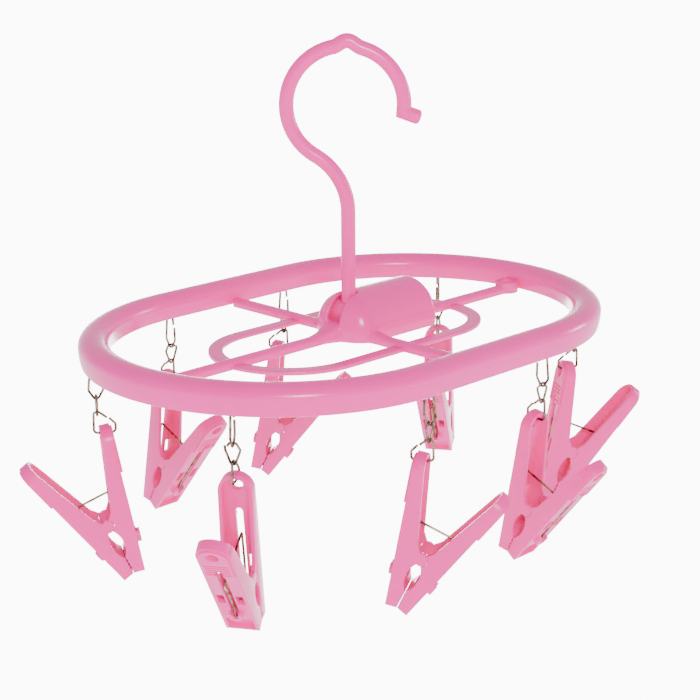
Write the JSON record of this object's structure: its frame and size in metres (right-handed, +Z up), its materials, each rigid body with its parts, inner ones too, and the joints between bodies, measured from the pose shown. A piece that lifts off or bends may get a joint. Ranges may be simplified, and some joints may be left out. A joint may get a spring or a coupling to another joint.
{
  "type": "clip drying hanger",
  "caption": "Oval plastic drying hanger: ribbed oval frame, folding swivel hook, and sprung clips hung on short wire chains round the rim.",
  "frame": {"origin": "on the hook's inner seat, where the hanger rests on a rail", "axes": "+Z up along the hook's stem; +X along the oval rim's length, towards the hub's flat end; +Y across the rim"},
  "size_m": [0.2932, 0.2279, 0.2432],
  "materials": {
    "frame_plastic": "glossy moulded polypropylene",
    "hub_plastic": "glossy moulded polypropylene",
    "hook_plastic": "glossy moulded polypropylene",
    "clip_plastic": "satin moulded polypropylene",
    "chain_wire": "nickelled steel wire, slightly bronzed",
    "spring_wire": "brass-flashed spring steel wire",
    "pin_steel": "plain steel push-on ring"
  },
  "bodies": {
    "hook": {"hook": "hook_plastic", "hook_retainer": "pin_steel"},
    "swivel": {"swivel_block": "hub_plastic"},
    "frame": {"rim_crown": "frame_plastic", "rim_outer_skirt": "frame_plastic", "rim_inner_skirt": "frame_plastic", "chain_bars": "frame_plastic", "spokes": "frame_plastic", "inner_loop": "frame_plastic", "hub_housing": "hub_plastic"},
    "clip_1_top_link": {"clip_1_link_top": "chain_wire"},
    "clip_1_mid_link": {"clip_1_link_mid": "chain_wire"},
    "clip_1_low_link": {"clip_1_link_low": "chain_wire"},
    "clip_1_hung": {"clip_1_jaw_hung": "clip_plastic", "clip_1_spring": "spring_wire"},
    "clip_1_free": {"clip_1_jaw_free": "clip_plastic"},
    "clip_2_top_link": {"clip_2_link_top": "chain_wire"},
    "clip_2_mid_link": {"clip_2_link_mid": "chain_wire"},
    "clip_2_low_link": {"clip_2_link_low": "chain_wire"},
    "clip_2_hung": {"clip_2_jaw_hung": "clip_plastic", "clip_2_spring": "spring_wire"},
    "clip_2_free": {"clip_2_jaw_free": "clip_plastic"},
    "clip_3_top_link": {"clip_3_link_top": "chain_wire"},
    "clip_3_mid_link": {"clip_3_link_mid": "chain_wire"},
    "clip_3_low_link": {"clip_3_link_low": "chain_wire"},
    "clip_3_hung": {"clip_3_jaw_hung": "clip_plastic", "clip_3_spring": "spring_wire"},
    "clip_3_free": {"clip_3_jaw_free": "clip_plastic"},
    "clip_4_top_link": {"clip_4_link_top": "chain_wire"},
    "clip_4_mid_link": {"clip_4_link_mid": "chain_wire"},
    "clip_4_low_link": {"clip_4_link_low": "chain_wire"},
    "clip_4_hung": {"clip_4_jaw_hung": "clip_plastic", "clip_4_spring": "spring_wire"},
    "clip_4_free": {"clip_4_jaw_free": "clip_plastic"},
    "clip_5_top_link": {"clip_5_link_top": "chain_wire"},
    "clip_5_mid_link": {"clip_5_link_mid": "chain_wire"},
    "clip_5_low_link": {"clip_5_link_low": "chain_wire"},
    "clip_5_hung": {"clip_5_jaw_hung": "clip_plastic", "clip_5_spring": "spring_wire"},
    "clip_5_free": {"clip_5_jaw_free": "clip_plastic"},
    "clip_6_top_link": {"clip_6_link_top": "chain_wire"},
    "clip_6_mid_link": {"clip_6_link_mid": "chain_wire"},
    "clip_6_low_link": {"clip_6_link_low": "chain_wire"},
    "clip_6_hung": {"clip_6_jaw_hung": "clip_plastic", "clip_6_spring": "spring_wire"},
    "clip_6_free": {"clip_6_jaw_free": "clip_plastic"},
    "clip_7_top_link": {"clip_7_link_top": "chain_wire"},
    "clip_7_mid_link": {"clip_7_link_mid": "chain_wire"},
    "clip_7_low_link": {"clip_7_link_low": "chain_wire"},
    "clip_7_hung": {"clip_7_jaw_hung": "clip_plastic", "clip_7_spring": "spring_wire"},
    "clip_7_free": {"clip_7_jaw_free": "clip_plastic"},
    "clip_8_top_link": {"clip_8_link_top": "chain_wire"},
    "clip_8_mid_link": {"clip_8_link_mid": "chain_wire"},
    "clip_8_low_link": {"clip_8_link_low": "chain_wire"},
    "clip_8_hung": {"clip_8_jaw_hung": "clip_plastic", "clip_8_spring": "spring_wire"},
    "clip_8_free": {"clip_8_jaw_free": "clip_plastic"}
  },
  "joints": [
    {"name": "hook_swivel", "type": "hinge", "parent": "hook", "child": "swivel", "pos_m": [0, 0, -0.12368], "axis": [0, 0, 1], "continuous": true},
    {"name": "hook_fold", "type": "hinge", "parent": "swivel", "child": "frame", "pos_m": [0, 0, -0.12368], "axis": [0, 1, 0], "range_deg": [0, 80]},
    {"name": "clip_1_chain_sway", "type": "hinge", "parent": "frame", "child": "clip_1_top_link", "pos_m": [-0.11461, 0.04622, -0.13288], "axis": [0.5344, 0.8453, 0], "range_deg": [-20, 20]},
    {"name": "clip_1_mid_sway", "type": "hinge", "parent": "clip_1_top_link", "child": "clip_1_mid_link", "pos_m": [-0.11461, 0.04622, -0.15003], "axis": [-0.8453, 0.5344, 0], "range_deg": [-15, 15]},
    {"name": "clip_1_low_sway", "type": "hinge", "parent": "clip_1_mid_link", "child": "clip_1_low_link", "pos_m": [-0.11461, 0.04622, -0.15788], "axis": [-0.5344, -0.8453, 0], "range_deg": [-12, 12]},
    {"name": "clip_1_clip_sway", "type": "hinge", "parent": "clip_1_low_link", "child": "clip_1_hung", "pos_m": [-0.11019, 0.04342, -0.16633], "axis": [-0.8453, 0.5344, 0], "range_deg": [-15, 15]},
    {"name": "clip_1_open", "type": "hinge", "parent": "clip_1_hung", "child": "clip_1_free", "pos_m": [-0.11306, 0.04524, -0.20953], "axis": [0.5344, 0.8453, 0], "range_deg": [0, 36], "stiffness_Nm_per_rad": 0.12, "springref_deg": -34.38, "deforming": ["clip_1_spring"]},
    {"name": "clip_2_chain_sway", "type": "hinge", "parent": "frame", "child": "clip_2_top_link", "pos_m": [-0.0383, 0.0865, -0.13288], "axis": [1, 0, 0], "range_deg": [-20, 20]},
    {"name": "clip_2_mid_sway", "type": "hinge", "parent": "clip_2_top_link", "child": "clip_2_mid_link", "pos_m": [-0.0383, 0.0865, -0.15003], "axis": [0, 1, 0], "range_deg": [-15, 15]},
    {"name": "clip_2_low_sway", "type": "hinge", "parent": "clip_2_mid_link", "child": "clip_2_low_link", "pos_m": [-0.0383, 0.0865, -0.15788], "axis": [-1, 0, 0], "range_deg": [-12, 12]},
    {"name": "clip_2_clip_sway", "type": "hinge", "parent": "clip_2_low_link", "child": "clip_2_hung", "pos_m": [-0.0383, 0.09174, -0.16633], "axis": [0, -1, 0], "range_deg": [-15, 15]},
    {"name": "clip_2_open", "type": "hinge", "parent": "clip_2_hung", "child": "clip_2_free", "pos_m": [-0.0383, 0.08833, -0.20953], "axis": [-1, 0, 0], "range_deg": [0, 36], "stiffness_Nm_per_rad": 0.12, "springref_deg": -34.38, "deforming": ["clip_2_spring"]},
    {"name": "clip_3_chain_sway", "type": "hinge", "parent": "frame", "child": "clip_3_top_link", "pos_m": [-0.11461, -0.04622, -0.13288], "axis": [-0.5344, 0.8453, 0], "range_deg": [-20, 20]},
    {"name": "clip_3_mid_sway", "type": "hinge", "parent": "clip_3_top_link", "child": "clip_3_mid_link", "pos_m": [-0.11461, -0.04622, -0.15003], "axis": [-0.8453, -0.5344, 0], "range_deg": [-15, 15]},
    {"name": "clip_3_low_sway", "type": "hinge", "parent": "clip_3_mid_link", "child": "clip_3_low_link", "pos_m": [-0.11461, -0.04622, -0.15788], "axis": [0.5344, -0.8453, 0], "range_deg": [-12, 12]},
    {"name": "clip_3_clip_sway", "type": "hinge", "parent": "clip_3_low_link", "child": "clip_3_hung", "pos_m": [-0.11019, -0.04342, -0.16633], "axis": [-0.8453, -0.5344, 0], "range_deg": [-15, 15]},
    {"name": "clip_3_open", "type": "hinge", "parent": "clip_3_hung", "child": "clip_3_free", "pos_m": [-0.11306, -0.04524, -0.20953], "axis": [-0.5344, 0.8453, 0], "range_deg": [0, 36], "stiffness_Nm_per_rad": 0.12, "springref_deg": -34.38, "deforming": ["clip_3_spring"]},
    {"name": "clip_4_chain_sway", "type": "hinge", "parent": "frame", "child": "clip_4_top_link", "pos_m": [0.0383, 0.0865, -0.13288], "axis": [1, 0, 0], "range_deg": [-20, 20]},
    {"name": "clip_4_mid_sway", "type": "hinge", "parent": "clip_4_top_link", "child": "clip_4_mid_link", "pos_m": [0.0383, 0.0865, -0.15003], "axis": [0, 1, 0], "range_deg": [-15, 15]},
    {"name": "clip_4_low_sway", "type": "hinge", "parent": "clip_4_mid_link", "child": "clip_4_low_link", "pos_m": [0.0383, 0.0865, -0.15788], "axis": [-0.9537, -0.3007, 0], "range_deg": [-12, 12]},
    {"name": "clip_4_clip_sway", "type": "hinge", "parent": "clip_4_low_link", "child": "clip_4_hung", "pos_m": [0.03529, 0.09079, -0.16633], "axis": [0.5736, -0.8192, 0], "range_deg": [-15, 15]},
    {"name": "clip_4_open", "type": "hinge", "parent": "clip_4_hung", "child": "clip_4_free", "pos_m": [0.03725, 0.088, -0.20953], "axis": [-0.8192, -0.5736, 0], "range_deg": [0, 36], "stiffness_Nm_per_rad": 0.12, "springref_deg": -34.38, "deforming": ["clip_4_spring"]},
    {"name": "clip_5_chain_sway", "type": "hinge", "parent": "frame", "child": "clip_5_top_link", "pos_m": [-0.0383, -0.0865, -0.13288], "axis": [-1, 0, 0], "range_deg": [-20, 20]},
    {"name": "clip_5_mid_sway", "type": "hinge", "parent": "clip_5_top_link", "child": "clip_5_mid_link", "pos_m": [-0.0383, -0.0865, -0.15003], "axis": [0, -1, 0], "range_deg": [-15, 15]},
    {"name": "clip_5_low_sway", "type": "hinge", "parent": "clip_5_mid_link", "child": "clip_5_low_link", "pos_m": [-0.0383, -0.0865, -0.15788], "axis": [0.9659, 0.2588, 0], "range_deg": [-12, 12]},
    {"name": "clip_5_clip_sway", "type": "hinge", "parent": "clip_5_low_link", "child": "clip_5_hung", "pos_m": [-0.04092, -0.08196, -0.16633], "axis": [0.5, -0.866, 0], "range_deg": [-15, 15]},
    {"name": "clip_5_open", "type": "hinge", "parent": "clip_5_hung", "child": "clip_5_free", "pos_m": [-0.03922, -0.08491, -0.20953], "axis": [-0.866, -0.5, 0], "range_deg": [0, 36], "stiffness_Nm_per_rad": 0.12, "springref_deg": -34.38, "deforming": ["clip_5_spring"]},
    {"name": "clip_6_chain_sway", "type": "hinge", "parent": "frame", "child": "clip_6_top_link", "pos_m": [0.11461, 0.04622, -0.13288], "axis": [0.5344, -0.8453, 0], "range_deg": [-20, 20]},
    {"name": "clip_6_mid_sway", "type": "hinge", "parent": "clip_6_top_link", "child": "clip_6_mid_link", "pos_m": [0.11461, 0.04622, -0.15003], "axis": [0.8453, 0.5344, 0], "range_deg": [-15, 15]},
    {"name": "clip_6_low_sway", "type": "hinge", "parent": "clip_6_mid_link", "child": "clip_6_low_link", "pos_m": [0.11461, 0.04622, -0.15788], "axis": [-0.5344, 0.8453, 0], "range_deg": [-12, 12]},
    {"name": "clip_6_clip_sway", "type": "hinge", "parent": "clip_6_low_link", "child": "clip_6_hung", "pos_m": [0.11904, 0.04902, -0.16633], "axis": [-0.8453, -0.5344, 0], "range_deg": [-15, 15]},
    {"name": "clip_6_open", "type": "hinge", "parent": "clip_6_hung", "child": "clip_6_free", "pos_m": [0.11617, 0.0472, -0.20953], "axis": [-0.5344, 0.8453, 0], "range_deg": [0, 36], "stiffness_Nm_per_rad": 0.12, "springref_deg": -34.38, "deforming": ["clip_6_spring"]},
    {"name": "clip_7_chain_sway", "type": "hinge", "parent": "frame", "child": "clip_7_top_link", "pos_m": [0.0383, -0.0865, -0.13288], "axis": [-1, 0, 0], "range_deg": [-20, 20]},
    {"name": "clip_7_mid_sway", "type": "hinge", "parent": "clip_7_top_link", "child": "clip_7_mid_link", "pos_m": [0.0383, -0.0865, -0.15003], "axis": [0, -1, 0], "range_deg": [-15, 15]},
    {"name": "clip_7_low_sway", "type": "hinge", "parent": "clip_7_mid_link", "child": "clip_7_low_link", "pos_m": [0.0383, -0.0865, -0.15788], "axis": [1, 0, 0], "range_deg": [-12, 12]},
    {"name": "clip_7_clip_sway", "type": "hinge", "parent": "clip_7_low_link", "child": "clip_7_hung", "pos_m": [0.0383, -0.08126, -0.16633], "axis": [0, -1, 0], "range_deg": [-15, 15]},
    {"name": "clip_7_open", "type": "hinge", "parent": "clip_7_hung", "child": "clip_7_free", "pos_m": [0.0383, -0.08467, -0.20953], "axis": [-1, 0, 0], "range_deg": [0, 36], "stiffness_Nm_per_rad": 0.12, "springref_deg": -34.38, "deforming": ["clip_7_spring"]},
    {"name": "clip_8_chain_sway", "type": "hinge", "parent": "frame", "child": "clip_8_top_link", "pos_m": [0.11461, -0.04622, -0.13288], "axis": [-0.5344, -0.8453, 0], "range_deg": [-20, 20]},
    {"name": "clip_8_mid_sway", "type": "hinge", "parent": "clip_8_top_link", "child": "clip_8_mid_link", "pos_m": [0.11461, -0.04622, -0.15003], "axis": [0.8453, -0.5344, 0], "range_deg": [-15, 15]},
    {"name": "clip_8_low_sway", "type": "hinge", "parent": "clip_8_mid_link", "child": "clip_8_low_link", "pos_m": [0.11461, -0.04622, -0.15788], "axis": [0.5344, 0.8453, 0], "range_deg": [-12, 12]},
    {"name": "clip_8_clip_sway", "type": "hinge", "parent": "clip_8_low_link", "child": "clip_8_hung", "pos_m": [0.11019, -0.04342, -0.16633], "axis": [0.8453, -0.5344, 0], "range_deg": [-15, 15]},
    {"name": "clip_8_open", "type": "hinge", "parent": "clip_8_hung", "child": "clip_8_free", "pos_m": [0.11306, -0.04524, -0.20953], "axis": [-0.5344, -0.8453, 0], "range_deg": [0, 36], "stiffness_Nm_per_rad": 0.12, "springref_deg": -34.38, "deforming": ["clip_8_spring"]}
  ]
}
